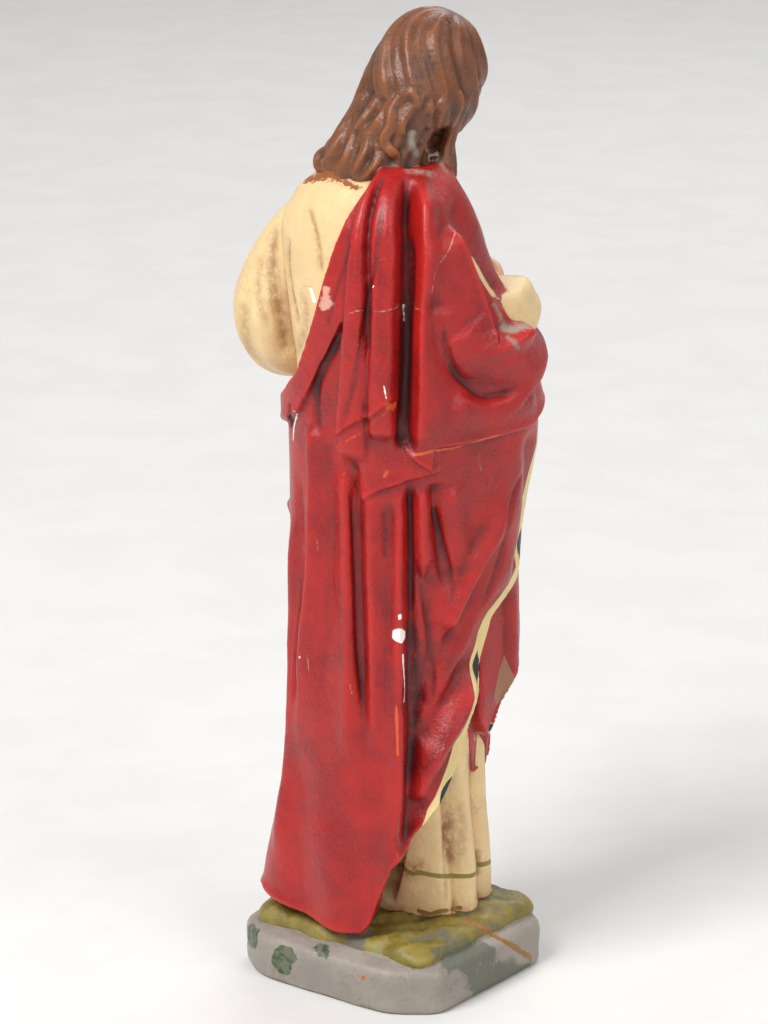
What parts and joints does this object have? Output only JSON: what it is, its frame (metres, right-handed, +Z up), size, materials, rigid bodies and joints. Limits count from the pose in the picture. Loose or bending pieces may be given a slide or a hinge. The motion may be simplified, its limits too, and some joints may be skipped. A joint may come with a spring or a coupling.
{
  "type": "religious plaster statue",
  "caption": "Standing robed and bearded man in a cream tunic and red mantle on a low chamfered base, a painted plaster devotional figure.",
  "frame": {"origin": "middle of the base's flat underside, on the surface that it stands on", "axes": "+Z up, -Y the way the figure faces, +X towards the figure's left hand"},
  "size_m": [0.0743, 0.059, 0.24],
  "materials": {
    "painted_plaster": "cast plaster, painted red, cream, brown and olive under a worn gloss varnish, with chips and grime"
  },
  "bodies": {
    "root": {"statue": "painted_plaster"}
  },
  "joints": []
}
